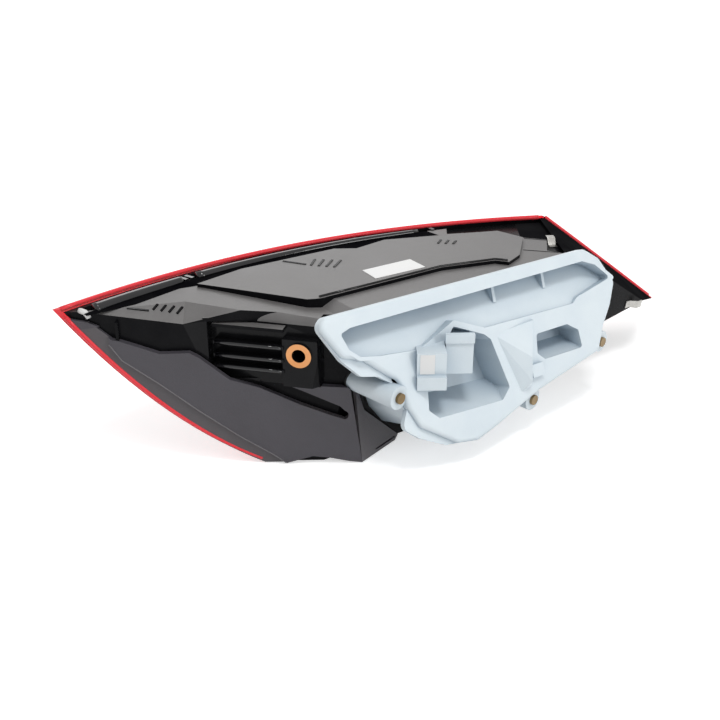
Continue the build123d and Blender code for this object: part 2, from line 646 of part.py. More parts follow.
# Sheet metal clips at the right end
with BuildPart() as upper_spring_clip:
    add(clip(Plane(origin=(*TOP_CLIP, bed_z + WALL), x_dir=(0.5, 0.866, 0), z_dir=(0, 0, 1))))
finish(upper_spring_clip, "upper_spring_clip")
with BuildPart() as end_spring_clip:
    clip_foot = back_plane.from_local_coords(Vector(*END_CLIP, 0))
    add(clip(Plane(origin=clip_foot, x_dir=back_plane.x_dir, z_dir=back_plane.z_dir)))
finish(end_spring_clip, "end_spring_clip")

# Frame behind the lens, with openings for the cups
bezel_top = Plane(origin=(0, 0, bed_z - FIT), z_dir=(0, 0, 1))
lobe_under = Plane(
    origin=end_plane.from_local_coords(Vector(0, LOBE_Z - lobe_drop - 2 * FIT, 0)),
    z_dir=end_plane.z_dir * (top_z - LOBE_Z) + Vector(0, 0, LOBE_WIDE),
)
bezel_back = BEZEL_DEPTH + BEZEL_THICK


def lens_facing(at):
    """Plane at a point, facing along the lens axis."""
    return Plane(origin=at, x_dir=(1, 0, 0), z_dir=lens_axis)


def cup_space(at, flare, inset):
    """Space of a reflector cup from its floor towards the lens, walls moved in by inset."""
    with BuildPart() as space:
        with BuildSketch(lens_facing(at)):
            Rectangle(CUP_WIDE - 2 * inset, CUP_HIGH - 2 * inset)
        extrude(amount=CUP_REACH, taper=-flare)
    return space.part


with BuildPart() as inner_bezel:
    tail_inside = tail_low.offset(-WALL - FIT)
    trims = body_walls(WALL + FIT) + [bezel_top, lobe_under, tail_inside]
    add(behind_lens(BEZEL_DEPTH, BEZEL_THICK, trims))
    for at, flare in ((STOP_AT, STOP_FLARE), (TURN_AT, TURN_FLARE)):
        add(cup_space(at, flare, CUP_WALL + 1), mode=Mode.SUBTRACT)
finish(inner_bezel, "inner_bezel")

# Clear light bar on the front of the frame
with BuildPart() as light_guide:
    add(
        behind_lens(
            BEZEL_DEPTH - GUIDE_THICK,
            GUIDE_THICK,
            [
                Plane(origin=(GUIDE_LEFT, 0, 0), z_dir=(-1, 0, 0)),
                Plane(origin=(GUIDE_RIGHT, 0, 0), z_dir=(1, 0, 0)),
                Plane(origin=(0, 0, GUIDE_LOW), z_dir=(0, 0, -1)),
                Plane(origin=(0, 0, GUIDE_HIGH), z_dir=(0, 0, 1)),
            ],
        )
    )
finish(light_guide, "light_guide")

# Reflector cups, their boards, diodes and small screws
in_front = behind_lens(-CUP_REACH, CUP_REACH + bezel_back, [])


def small_spots():
    """Places of the two screws of a cup's board."""
    return Locations((-SMALL_RING, 0), (SMALL_RING, 0))


def cup(at, flare):
    """Metallised reflector cup on the lens axis, its rim against the back of the frame."""
    back = lens_facing(at).offset(-FLOOR_THICK)
    with BuildPart() as shell:
        add(cup_space(at, flare, 0))
        add(cup_space(at, flare, CUP_WALL), mode=Mode.SUBTRACT)
        add(in_front, mode=Mode.SUBTRACT)
        with BuildSketch(back):
            Rectangle(CUP_WIDE, CUP_HIGH)
            Rectangle(CUP_NECK, CUP_NECK, mode=Mode.SUBTRACT)
        extrude(amount=FLOOR_THICK)
        with BuildSketch(back):
            with small_spots():
                Circle(SMALL_R + SHANK_PLAY)
        extrude(amount=SMALL_LONG - BOARD_THICK + 0.5, mode=Mode.SUBTRACT)
    return shell.part


def board_back(at):
    """Plane of the back of a cup's board."""
    return lens_facing(at).offset(-FLOOR_THICK - BOARD_THICK)


def cup_board(at):
    """Circuit board on the back of a cup."""
    with BuildPart() as board:
        with BuildSketch(board_back(at)):
            Rectangle(CUP_WIDE, CUP_HIGH)
            with small_spots():
                Circle(SMALL_R + FIT, mode=Mode.SUBTRACT)
        extrude(amount=BOARD_THICK)
    return board.part


def diodes(at):
    """Light emitting diodes on a board, seen through the neck of its cup."""
    with BuildPart() as group:
        with BuildSketch(board_back(at).offset(BOARD_THICK)):
            with PolarLocations(LED_RING, LED_COUNT):
                Rectangle(LED_SIDE, LED_SIDE)
        extrude(amount=LED_HIGH)
    return group.part


with BuildPart() as stop_reflector:
    add(cup(STOP_AT, STOP_FLARE))
finish(stop_reflector, "stop_reflector")
with BuildPart() as turn_reflector:
    add(cup(TURN_AT, TURN_FLARE))
finish(turn_reflector, "turn_reflector")
with BuildPart() as stop_board:
    add(cup_board(STOP_AT))
finish(stop_board, "stop_board")
with BuildPart() as turn_board:
    add(cup_board(TURN_AT))
finish(turn_board, "turn_board")
with BuildPart() as stop_leds:
    add(diodes(STOP_AT))
finish(stop_leds, "stop_leds")
with BuildPart() as turn_leds:
    add(diodes(TURN_AT))
finish(turn_leds, "turn_leds")
with BuildPart() as driver_board:
    with BuildSketch(Plane(origin=(0, 0, WALL + STUD_HIGH))):
        with Locations((DRIVER_X, DRIVER_Y)):
            Rectangle(DRIVER_LONG, DRIVER_WIDE)
        with Locations(*driver_spots):
            Circle(SMALL_R + FIT, mode=Mode.SUBTRACT)
    extrude(amount=BOARD_THICK)
finish(driver_board, "driver_board")

# Small screws of the boards
with BuildPart() as board_screws:
    for at in (STOP_AT, TURN_AT):
        with BuildSketch(board_back(at)):
            with small_spots():
                Circle(SMALL_R)
        extrude(amount=SMALL_LONG)
        with BuildSketch(board_back(at)):
            with small_spots():
                RegularPolygon(SMALL_HEAD_R, 6)
        extrude(amount=-SMALL_HEAD_HIGH)
    driver_top = Plane(origin=(0, 0, WALL + STUD_HIGH + BOARD_THICK))
    with BuildSketch(driver_top):
        with Locations(*driver_spots):
            Circle(SMALL_R)
    extrude(amount=-SMALL_LONG)
    with BuildSketch(driver_top):
        with Locations(*driver_spots):
            RegularPolygon(SMALL_HEAD_R, 6)
    extrude(amount=SMALL_HEAD_HIGH)
finish(board_screws, "board_screws")

# Origin: middle of the underside of the whole lamp
boxes = [piece.bounding_box() for piece in pieces.values()]
base = Vector(
    (min(box.min.X for box in boxes) + max(box.max.X for box in boxes)) / 2,
    (min(box.min.Y for box in boxes) + max(box.max.Y for box in boxes)) / 2,
    min(box.min.Z for box in boxes),
)
for name, piece in pieces.items():
    export_step(piece.moved(Location(base * -1)), f"parts/{name}.step")
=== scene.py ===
import json
from math import cos, pi, radians, sin

import bpy
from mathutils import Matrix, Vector


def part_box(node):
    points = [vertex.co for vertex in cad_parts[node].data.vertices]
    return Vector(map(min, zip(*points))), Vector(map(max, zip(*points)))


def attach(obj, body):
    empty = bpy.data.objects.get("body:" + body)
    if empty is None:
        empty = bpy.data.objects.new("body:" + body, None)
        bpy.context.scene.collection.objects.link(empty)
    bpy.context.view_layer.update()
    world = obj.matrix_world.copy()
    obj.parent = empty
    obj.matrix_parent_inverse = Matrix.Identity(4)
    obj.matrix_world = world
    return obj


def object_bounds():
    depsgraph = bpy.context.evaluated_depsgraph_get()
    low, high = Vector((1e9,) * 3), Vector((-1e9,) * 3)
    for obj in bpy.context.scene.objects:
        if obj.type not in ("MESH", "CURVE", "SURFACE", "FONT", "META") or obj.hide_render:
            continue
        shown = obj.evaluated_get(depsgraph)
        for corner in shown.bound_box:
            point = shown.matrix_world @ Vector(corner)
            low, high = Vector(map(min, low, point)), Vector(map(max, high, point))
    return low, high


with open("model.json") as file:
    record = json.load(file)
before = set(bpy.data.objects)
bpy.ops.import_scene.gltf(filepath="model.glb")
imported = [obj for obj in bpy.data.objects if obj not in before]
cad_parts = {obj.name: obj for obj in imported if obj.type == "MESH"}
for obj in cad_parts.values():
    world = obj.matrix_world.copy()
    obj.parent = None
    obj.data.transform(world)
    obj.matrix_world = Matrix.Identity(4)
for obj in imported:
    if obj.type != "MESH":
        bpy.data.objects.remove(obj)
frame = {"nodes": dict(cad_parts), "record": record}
cad_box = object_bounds()
nodes = frame["nodes"]

MM = 0.001
UP = Vector((0, 0, 1))

# Places are in millimetres from the lens's low left corner, found from the low corner of the lens's box
LENS_LEFT, LENS_NEAR = -107.28, -3.50
lens_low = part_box("outer_lens")[0]
CORNER = Vector((lens_low.x / MM - LENS_LEFT, lens_low.y / MM - LENS_NEAR, lens_low.z / MM))

# Camera of the photograph
CAMERA_AT = Vector((-284.9, -514.1, 354.7))
CAMERA_PITCH, CAMERA_TURN = 25.5, -35.3
CAMERA_LENS, CAMERA_SENSOR = 50.0, 36.0

# Glue channel: its floor, half its width, and the ends and pull of its middle line in plan, a parabola
CHANNEL_FLOOR, CHANNEL_HALF = 107.5, 4.0
CHANNEL_LEFT, CHANNEL_RIGHT = Vector((-101.6, 58.7)), Vector((294.8, 26.7))
CHANNEL_PULL = Vector((105.6, 117.5))
CHANNEL_STEPS = 80

# Satin top wall: its lowest height and its right end
SATIN_FROM, SATIN_RIGHT = 100.0, 249.0

# Bracket: a ball around it, its place, and its directions along it and out of it
BRACKET_MIDDLE, BRACKET_REACH = Vector((-6, -4, 84)), 40.0
BRACKET_AT = Vector((-8, 9, 0))
BRACKET_ALONG, BRACKET_OUT = Vector((0.669, -0.743, 0)), Vector((-0.743, -0.669, 0))

# End panel: directions along it and out of it, how far its outer band stands out, height of its foot
END_ALONG, END_OUT = Vector((0.833, -0.553, 0)), Vector((-0.553, -0.833, 0))
BAND_OUT, FOOT_HIGH = 3.2, 45.0

# Lens: its left tip, right corner and right tip, the pulls of the parabolas between them, where it faces
TIP_LEFT, CORNER_RIGHT = Vector((-107.3, 71.2, 113)), Vector((284, 36, 113))
TIP_RIGHT = Vector((409, 16, 20))
TOP_PULL, EDGE_PULL = Vector((100, 129, 113)), Vector((346, 34, 60))
LENS_DIP = 30.0
LENS_OUT = Vector((0, cos(radians(LENS_DIP)), -sin(radians(LENS_DIP))))

# Slope of the lamp body along the right edge of the lens: a point of it and where it faces
SLOPE_AT, SLOPE_OUT = Vector((293.2, 23.3, 101.4)), Vector((0.53, -0.33, 0.78)).normalized()


def place(x, y, z):
    """Point in metres in the row frame, from millimetres."""
    return (CORNER + Vector((x, y, z))) * MM


def on_end(along, high, out=0.0):
    """Point from its place along the end panel, its height and how far it stands out."""
    return END_ALONG * along + END_OUT * out + UP * high


def spaced(start, end, steps):
    """Even steps from one number to another, both included."""
    return [start + (end - start) * i / steps for i in range(steps + 1)]


def bowed(start, pull, end, t):
    """Point of a parabola between two ends."""
    return start * (1 - t) ** 2 + pull * (2 * t * (1 - t)) + end * t**2


def channel_point(t, z, shift):
    """Point of the glue channel's middle line, moved to its inner side by shift."""
    flat = bowed(CHANNEL_LEFT, CHANNEL_PULL, CHANNEL_RIGHT, t)
    along = ((CHANNEL_PULL - CHANNEL_LEFT) * (1 - t) + (CHANNEL_RIGHT - CHANNEL_PULL) * t).normalized()
    return Vector((flat.x + along.y * shift, flat.y - along.x * shift, z))


# Materials: features per metre and detail of the noise, and the parts of its range that are used
BROAD_SCALE, BROAD_DETAIL, FINE_DETAIL = 40.0, 4.0, 3.0
MIDDLE_RANGE, WIDE_RANGE, WHOLE_RANGE = (0.35, 0.65), (0.3, 0.7), (0.0, 1.0)
GRAIN_STRENGTH = 0.5


def new_material(name):
    """New node material; returns the material, its tree and its Principled shader."""
    material = bpy.data.materials.new(name)
    material.use_nodes = True
    tree = material.node_tree
    return material, tree, tree.nodes["Principled BSDF"]


def noise(tree, scale, detail=BROAD_DETAIL, stretch=(1, 1, 1)):
    """Noise in object space, in features per metre."""
    coords = tree.nodes.new("ShaderNodeTexCoord")
    mapping = tree.nodes.new("ShaderNodeMapping")
    mapping.inputs["Scale"].default_value = stretch
    texture = tree.nodes.new("ShaderNodeTexNoise")
    texture.inputs["Scale"].default_value = scale
    texture.inputs["Detail"].default_value = detail
    tree.links.new(coords.outputs["Object"], mapping.inputs["Vector"])
    tree.links.new(mapping.outputs["Vector"], texture.inputs["Vector"])
    return texture.outputs["Fac"]


def ramp(tree, value, source, colours):
    """Value in a range turned into a colour between two."""
    node = tree.nodes.new("ShaderNodeValToRGB")
    for element, position, colour in zip(node.color_ramp.elements, source, colours):
        element.position = position
        element.color = (*colour, 1.0)
    tree.links.new(value, node.inputs["Fac"])
    return node.outputs["Color"]


def mapped(tree, value, source, target):
    """Value in one range mapped onto another."""
    node = tree.nodes.new("ShaderNodeMapRange")
    for name, number in zip(("From Min", "From Max", "To Min", "To Max"), (*source, *target)):
        node.inputs[name].default_value = number
    tree.links.new(value, node.inputs["Value"])
    return node.outputs["Result"]


def grained(name, colours, rough, grain, depth, metallic=0.0, stretch=(1, 1, 1), shine=0.5):
    """Material with some variation of colour and roughness, and a grain of a depth in millimetres."""
    material, tree, shader = new_material(name)
    broad = noise(tree, BROAD_SCALE)
    tree.links.new(ramp(tree, broad, MIDDLE_RANGE, colours), shader.inputs["Base Color"])
    tree.links.new(mapped(tree, broad, WIDE_RANGE, rough), shader.inputs["Roughness"])
    bump = tree.nodes.new("ShaderNodeBump")
    bump.inputs["Strength"].default_value = GRAIN_STRENGTH
    bump.inputs["Distance"].default_value = depth * MM
    tree.links.new(noise(tree, grain, FINE_DETAIL, stretch), bump.inputs["Height"])
    tree.links.new(bump.outputs["Normal"], shader.inputs["Normal"])
    shader.inputs["Metallic"].default_value = metallic
    shader.inputs["Specular IOR Level"].default_value = shine
    return material


def greys(dark, light):
    """Dark and light end of a neutral grey."""
    return (dark, dark, dark), (light, light, light)


# Colours, dark and light end of each one's variation
BLACK = ((0.004, 0.004, 0.005), (0.008, 0.008, 0.009))
SLOPE_BLACK = ((0.009, 0.009, 0.01), (0.014, 0.014, 0.015))
SATIN = ((0.125, 0.12, 0.119), (0.158, 0.153, 0.151))
PANEL_GREY = ((0.05, 0.046, 0.055), (0.06, 0.056, 0.066))
# Painted light: lighter copy of the panel grey, on the end panel's outer band and the side of its foot
BAND_PAINTED_LIGHT_GREY = ((0.074, 0.067, 0.073), (0.085, 0.078, 0.084))
# Painted highlight: lighter grey of a line along the step of the end panel
CREASE_HIGHLIGHT_GREY = ((0.12, 0.112, 0.12), (0.14, 0.132, 0.14))
COVER_GREY = ((0.72, 0.805, 0.86), (0.76, 0.84, 0.885))
# Painted shade: the colour the grey cover darkens to in its recesses
COVER_PAINTED_SHADE = (0.38, 0.46, 0.53)
RIM_RED = ((0.84, 0.04, 0.055), (0.88, 0.055, 0.07))
LENS_RED = ((0.72, 0.012, 0.02), (0.8, 0.02, 0.03))
BRASS = ((0.2, 0.14, 0.07), (0.33, 0.24, 0.13))
TERMINAL = ((0.5, 0.42, 0.3), (0.6, 0.5, 0.36))
COPPER = ((0.78, 0.33, 0.11), (0.88, 0.41, 0.16))
LABEL_WHITE = ((0.82, 0.82, 0.82), (0.86, 0.86, 0.85))
STEEL = ((0.36, 0.35, 0.33), (0.6, 0.59, 0.56))
MIRROR = ((0.75, 0.75, 0.76), (0.82, 0.82, 0.83))
BOARD_GREEN = ((0.02, 0.1, 0.05), (0.03, 0.14, 0.07))
DIODE_YELLOW = ((0.7, 0.55, 0.12), (0.8, 0.66, 0.18))
GLUE_WHITE = ((0.7, 0.7, 0.69), (0.78, 0.78, 0.77))

# Plain materials: colours, range of roughness, grain in features per metre, depth of the grain
PLAIN = {
    "black_body": dict(colours=BLACK, rough=(0.2, 0.3), grain=300, depth=0.1, shine=0.06),
    "sealant": dict(colours=BLACK, rough=(0.35, 0.5), grain=500, depth=0.4, shine=0.1),
    "matt_panel": dict(colours=PANEL_GREY, rough=(0.46, 0.58), grain=1600, depth=0.3),
    "foam": dict(colours=greys(0.02, 0.035), rough=(0.8, 0.95), grain=700, depth=0.6),
    "brass_screw": dict(colours=BRASS, rough=(0.35, 0.5), grain=800, depth=0.3, metallic=0.9),
    "terminal": dict(colours=TERMINAL, rough=(0.25, 0.4), grain=800, depth=0.1, metallic=0.9),
    "copper_bush": dict(colours=COPPER, rough=(0.3, 0.42), grain=900, depth=0.2, metallic=0.3),
    "white_label": dict(colours=LABEL_WHITE, rough=(0.5, 0.6), grain=900, depth=0.1),
    "spring_steel": dict(colours=STEEL, rough=(0.2, 0.36), grain=900, depth=0.2, metallic=0.9),
    "bezel": dict(colours=greys(0.03, 0.045), rough=(0.4, 0.55), grain=900, depth=0.2),
    "clear_bar": dict(colours=greys(0.7, 0.78), rough=(0.1, 0.2), grain=400, depth=0.1),
    "reflector": dict(colours=MIRROR, rough=(0.06, 0.14), grain=300, depth=0.1, metallic=1.0),
    "circuit_board": dict(colours=BOARD_GREEN, rough=(0.35, 0.5), grain=700, depth=0.2),
    "diode": dict(colours=DIODE_YELLOW, rough=(0.3, 0.45), grain=600, depth=0.1),
    "small_screw": dict(colours=greys(0.5, 0.62), rough=(0.25, 0.4), grain=800, depth=0.1, metallic=0.9),
    "satin_top": dict(colours=SATIN, rough=(0.46, 0.56), grain=900, depth=0.4, stretch=(0.35, 1.6, 1.0)),
    "lens_rim": dict(colours=RIM_RED, rough=(0.25, 0.35), grain=200, depth=0.1, shine=0.25),
    "panel_band_painted_light": dict(colours=BAND_PAINTED_LIGHT_GREY, rough=(0.46, 0.58), grain=1600, depth=0.3),
    "panel_crease_highlight": dict(colours=CREASE_HIGHLIGHT_GREY, rough=(0.4, 0.5), grain=1600, depth=0.3),
    "bracket_black": dict(colours=BLACK, rough=(0.15, 0.25), grain=300, depth=0.1, shine=0.14),
    "rail_gloss": dict(colours=BLACK, rough=(0.05, 0.1), grain=300, depth=0.1, shine=0.5),
    "edge_gloss": dict(colours=BLACK, rough=(0.1, 0.16), grain=300, depth=0.1, shine=1.0),
    "dull_black": dict(colours=BLACK, rough=(0.6, 0.8), grain=500, depth=0.2, shine=0.0),
    "slope_black": dict(colours=SLOPE_BLACK, rough=(0.6, 0.8), grain=500, depth=0.2, shine=0.0),
    "gloss_black": dict(colours=BLACK, rough=(0.08, 0.16), grain=300, depth=0.1, shine=0.3),
    "glue_white": dict(colours=GLUE_WHITE, rough=(0.3, 0.45), grain=400, depth=0.4),
}
looks = {name: grained(name, **look) for name, look in PLAIN.items()}

# Grey cover: reach of the shade painted into its recesses, in metres, and the openness from darkest to
# full tone
PAINTED_SHADE_REACH, PAINTED_SHADE_OPEN = 0.035, (0.2, 0.95)


def cover_with_painted_shade():
    """Light grey plastic, with shade painted into its recesses by ambient occlusion."""
    material = grained("grey_cover", COVER_GREY, rough=(0.38, 0.48), grain=900, depth=0.2)
    tree = material.node_tree
    colour = tree.nodes["Principled BSDF"].inputs["Base Color"]
    tone = colour.links[0].from_socket
    painted_shade = tree.nodes.new("ShaderNodeAmbientOcclusion")
    painted_shade.inputs["Distance"].default_value = PAINTED_SHADE_REACH
    mix = tree.nodes.new("ShaderNodeMix")
    mix.data_type = "RGBA"
    mix.inputs["A"].default_value = (*COVER_PAINTED_SHADE, 1.0)
    tree.links.new(tone, mix.inputs["B"])
    tree.links.new(mapped(tree, painted_shade.outputs["AO"], PAINTED_SHADE_OPEN, WHOLE_RANGE), mix.inputs["Factor"])
    tree.links.new(mix.outputs["Result"], colour)
    return material


# Share of the light that goes through the lens
LENS_CLEAR = 0.9


def lens_glass():
    """Clear red of the lens, dark where the lamp behind it is dark."""
    material = grained("red_lens", LENS_RED, rough=(0.02, 0.05), grain=60, depth=0.05)
    material.node_tree.nodes["Principled BSDF"].inputs["Transmission Weight"].default_value = LENS_CLEAR
    return material


looks["grey_cover"] = cover_with_painted_shade()
looks["red_lens"] = lens_glass()

for part in frame["record"]["subparts"]:
    materials = nodes[part["node"]].data.materials
    materials.clear()
    materials.append(looks[part["material_slot"]])


def other_look(name, look, wanted):
    """Gives another material to the faces of a node that are wanted, by their middle and normal."""
    node = nodes[name]
    node.data.materials.append(looks[look])
    index = len(node.data.materials) - 1
    turn = node.matrix_world.to_3x3()
    for face in node.data.polygons:
        middle = node.matrix_world @ face.center / MM - CORNER
        if wanted(middle, (turn @ face.normal).normalized()):
            face.material_index = index


# How much of a face's normal lies in a direction: limits for faces that face there, or hardly do
LEVEL, NEARLY_LEVEL, FACING, TURNED = 0.999, 0.9, 0.95, 0.9
SKIN_UP, SHOULDER_UP, SHOULDER_OUT = 0.55, 0.05, 0.6
BORE_ACROSS, EDGE_UP, EDGE_ACROSS = 0.5, 0.75, 0.25
CHANNEL_SLACK = 0.2

inner_line = [channel_point(t, 0, CHANNEL_HALF) for t in spaced(0, 1, CHANNEL_STEPS)]
outer_line = [channel_point(t, 0, -CHANNEL_HALF) for t in spaced(0, 1, CHANNEL_STEPS)]


def is_outside_channel(middle):
    """True on the strip between the glue channel and the lens."""
    flat = Vector((middle.x, middle.y, 0))
    to_inner = min((flat - point).length for point in inner_line)
    to_outer = min((flat - point).length for point in outer_line)
    return to_outer < to_inner


def is_satin(middle, normal):
    """Skin and shoulder of the top wall, without the channel, the strip outside it and the right end."""
    on_channel_floor = abs(middle.z - CHANNEL_FLOOR) < CHANNEL_SLACK and normal.z > LEVEL
    on_shoulder = normal.dot(BRACKET_OUT) > SHOULDER_OUT and normal.z > SHOULDER_UP
    on_top = middle.z > SATIN_FROM and middle.x < SATIN_RIGHT and (normal.z > SKIN_UP or on_shoulder)
    return on_top and not on_channel_floor and not is_outside_channel(middle)


def is_bracket(middle, normal):
    """Walls and ribs of the bracket."""
    return (middle - BRACKET_MIDDLE).length < BRACKET_REACH and middle.z < SATIN_FROM


def is_slope(middle, normal):
    """Slope along the right edge of the lens, and the level faces right of the satin wall."""
    return normal.dot(SLOPE_OUT) > FACING or (normal.z > NEARLY_LEVEL and middle.x > SATIN_RIGHT)


def is_band_painted_light(middle, normal):
    """Outer band of the end panel, below its step, and the side of its foot: painted lighter, as light
    falling on them.
    """
    outward = normal.dot(END_OUT)
    on_band = outward > FACING and middle.dot(END_OUT) < BAND_OUT
    return on_band or (outward < TURNED and middle.z < FOOT_HIGH)


def is_bore(middle, normal):
    """Inside of the bolt bush."""
    return abs(normal.dot(BRACKET_OUT)) < BORE_ACROSS


def is_rim(middle, normal):
    """Cut edges of the lens, which face up, to the end or to the sides."""
    across = abs(normal.dot(LENS_OUT)) < EDGE_ACROSS
    return normal.z > EDGE_UP or normal.dot(END_OUT) > FACING or across


other_look("lamp_body", "satin_top", is_satin)
other_look("lamp_body", "bracket_black", is_bracket)
other_look("lamp_body", "slope_black", is_slope)
other_look("side_skirt", "panel_band_painted_light", is_band_painted_light)
other_look("mount_bush", "gloss_black", is_bore)
other_look("outer_lens", "lens_rim", is_rim)

# Rounded edges of the moulded pieces; those of the lamp body are glossy
EDGE_ROUND = {
    "rear_cover": 1.6,
    "side_skirt": 0.5,
    "lamp_body": 0.5,
    "outer_lens": 0.5,
    "mount_bush": 0.4,
}
EDGE_SEGMENTS, EDGE_ANGLE = 3, 25
for name, radius in EDGE_ROUND.items():
    rounding = nodes[name].modifiers.new("edges", "BEVEL")
    rounding.width = radius * MM
    rounding.segments = EDGE_SEGMENTS
    rounding.limit_method = "ANGLE"
    rounding.angle_limit = radians(EDGE_ANGLE)
    rounding.harden_normals = True
    if name == "lamp_body":
        nodes[name].data.materials.append(looks["edge_gloss"])
        rounding.material = len(nodes[name].data.materials) - 1


def add_piece(name, vertices, faces, look, smooth=False):
    """New mesh piece from points in millimetres, riding on the lamp."""
    mesh = bpy.data.meshes.new(name)
    mesh.from_pydata([place(*vertex) for vertex in vertices], [], faces)
    mesh.update()
    mesh.materials.append(looks[look])
    for face in mesh.polygons:
        face.use_smooth = smooth
    piece = bpy.data.objects.new(name, mesh)
    bpy.context.collection.objects.link(piece)
    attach(piece, "root")


# Corners of a box's faces: its foot is 0 to 3, its top 4 to 7
BOX_FACES = [(0, 1, 2, 3), (7, 6, 5, 4), (0, 4, 5, 1), (1, 5, 6, 2), (2, 6, 7, 3), (3, 7, 4, 0)]
TUBE_SIDES = 12


def bars(name, ends, wide, high, sink, look):
    """Low straight bars between pairs of points, as one piece."""
    vertices, faces = [], []
    for start, end in ends:
        side = Vector((start.y - end.y, end.x - start.x, 0)).normalized() * wide / 2
        first = len(vertices)
        for lift in (UP * -sink, UP * high):
            vertices += [start + side + lift, start - side + lift, end - side + lift, end + side + lift]
        faces += [tuple(first + i for i in face) for face in BOX_FACES]
    add_piece(name, vertices, faces, look)


def tube(name, points, radii, look):
    """Round bar along a row of points, with a radius at each of them."""
    vertices, faces = [], []
    for i, (point, radius) in enumerate(zip(points, radii)):
        before, after = points[max(i - 1, 0)], points[min(i + 1, len(points) - 1)]
        along = (after - before).normalized()
        across = Vector((-along.y, along.x, 0)).normalized()
        up = across.cross(along)
        for k in range(TUBE_SIDES):
            angle = 2 * pi * k / TUBE_SIDES
            vertices.append(point + (across * cos(angle) + up * sin(angle)) * radius)
    for i in range(len(points) - 1):
        for k in range(TUBE_SIDES):
            a, b = i * TUBE_SIDES + k, i * TUBE_SIDES + (k + 1) % TUBE_SIDES
            faces.append((a, b, b + TUBE_SIDES, a + TUBE_SIDES))
    faces.append(tuple(range(TUBE_SIDES - 1, -1, -1)))
    last = (len(points) - 1) * TUBE_SIDES
    faces.append(tuple(range(last, last + TUBE_SIDES)))
    add_piece(name, vertices, faces, look, smooth=True)


def plate(name, outline, low, high, look):
    """Flat plate with an outline in plan, between two heights."""
    count = len(outline)
    vertices = [Vector((point[0], point[1], z)) for z in (low, high) for point in outline]
    faces = [tuple(range(count - 1, -1, -1)), tuple(range(count, 2 * count))]
    faces += [(i, (i + 1) % count, (i + 1) % count + count, i + count) for i in range(count)]
    add_piece(name, vertices, faces, look)


# Height above the whole lamp, from which points are dropped onto it
ABOVE_ALL = 200.0


def laid(points):
    """Points in plan, laid on the lamp body."""
    body = nodes["lamp_body"]
    inward = body.matrix_world.inverted()
    on_body = []
    for x, y in points:
        _, hit, _, _ = body.ray_cast(inward @ place(x, y, ABOVE_ALL), inward.to_3x3() @ -UP)
        on_body.append(Vector((x, y, (body.matrix_world @ hit).z / MM - CORNER.z)))
    return on_body


# Dull black sheet on the top wall along the inner side of the glue channel, under the rails and out
# beyond them, where it is painted shadow of the rails: its inner edge in plan, its share of the channel
BED_INNER = (
    (188, 45), (143, 61), (114.5, 57), (101, 65.5), (25, 67.5),
    (-12, 60.5), (-24, 62.5), (-59, 53.5), (-92, 53.5),
)
BED_FROM, BED_TO, BED_STEPS = 0.02, 0.72, 30
BED_LOW, BED_HIGH, BED_GAP = 110.9, 111.25, 0.1
bed_outer = [channel_point(t, 0, CHANNEL_HALF + BED_GAP) for t in spaced(BED_FROM, BED_TO, BED_STEPS)]
plate("channel_bed_painted_shadow", [*bed_outer, *BED_INNER], BED_LOW, BED_HIGH, "dull_black")

# Glossy rails along the inner side of the glue channel, thinner towards the right
RAILS = {"left_rail": (0.04, 0.203), "right_rail": (0.235, 0.7)}
RAIL_STEPS, RAIL_Z, RAIL_IN = 40, 111.4, 3.6
RAIL_R, RAIL_TAPER = 4.3, 3.2
for name, (start, end) in RAILS.items():
    shares = spaced(start, end, RAIL_STEPS)
    radii = [RAIL_R - RAIL_TAPER * t for t in shares]
    tube(name, [channel_point(t, RAIL_Z, RAIL_IN) for t in shares], radii, "rail_gloss")

# Rounded glossy fronts of the bracket's ribs
RIB_HEIGHTS = (89.0, 80.0, 72.5)
RIB_FROM, RIB_TO, RIB_STEPS, RIB_OUT, RIB_R = -16.0, 28.5, 4, 6.6, 1.3
for number, height in enumerate(RIB_HEIGHTS, 1):
    rib_middle = BRACKET_AT + BRACKET_OUT * RIB_OUT + UP * height
    rib_points = [rib_middle + BRACKET_ALONG * along for along in spaced(RIB_FROM, RIB_TO, RIB_STEPS)]
    tube(f"rib_front_{number}", rib_points, [RIB_R] * len(rib_points), "rail_gloss")

# Short catches across the channel: their shares of it, and how far they reach over its middle line
CATCHES = (0.211, 0.223, 0.572, 0.6, 0.73)
CATCH_OUTER, CATCH_INNER, CATCH_SKEW = -3.4, 3.6, 0.004
CATCH_WIDE, CATCH_HIGH, CATCH_SINK = 2.6, 4.4, 0.1
catch_ends = []
for t in CATCHES:
    catch_start = channel_point(t, CHANNEL_FLOOR, CATCH_OUTER)
    catch_ends.append((catch_start, channel_point(t + CATCH_SKEW, CHANNEL_FLOOR, CATCH_INNER)))
bars("channel_catches", catch_ends, CATCH_WIDE, CATCH_HIGH, CATCH_SINK, "gloss_black")

# Raised marks on the top wall: lines, and rows from a first to a last stroke with their number
MARK_WIDE, MARK_HIGH, MARK_SINK = 1.6, 0.5, 0.3
MARK_LINES = (((-65.9, 51.7), (-54.4, 44.2)), ((56.6, 62.4), (66.2, 47.3)))
MARK_ROWS = (
    ((-52.0, 43.5), (-47.5, 45.6), (-39.8, 34.6), (-34.4, 37.1), 4),
    ((68.0, 43.6), (77.0, 52.3), (79.1, 31.3), (91.0, 40.1), 4),
    ((170.4, 28.9), (177.4, 33.9), (178.8, 21.6), (185.0, 25.6), 3),
)
strokes = [laid(line) for line in MARK_LINES]
for first_start, first_end, last_start, last_end, count in MARK_ROWS:
    for share in spaced(0, 1, count - 1):
        stroke = Vector(first_start).lerp(last_start, share), Vector(first_end).lerp(last_end, share)
        strokes.append(laid(stroke))
bars("top_marks", strokes, MARK_WIDE, MARK_HIGH, MARK_SINK, "black_body")

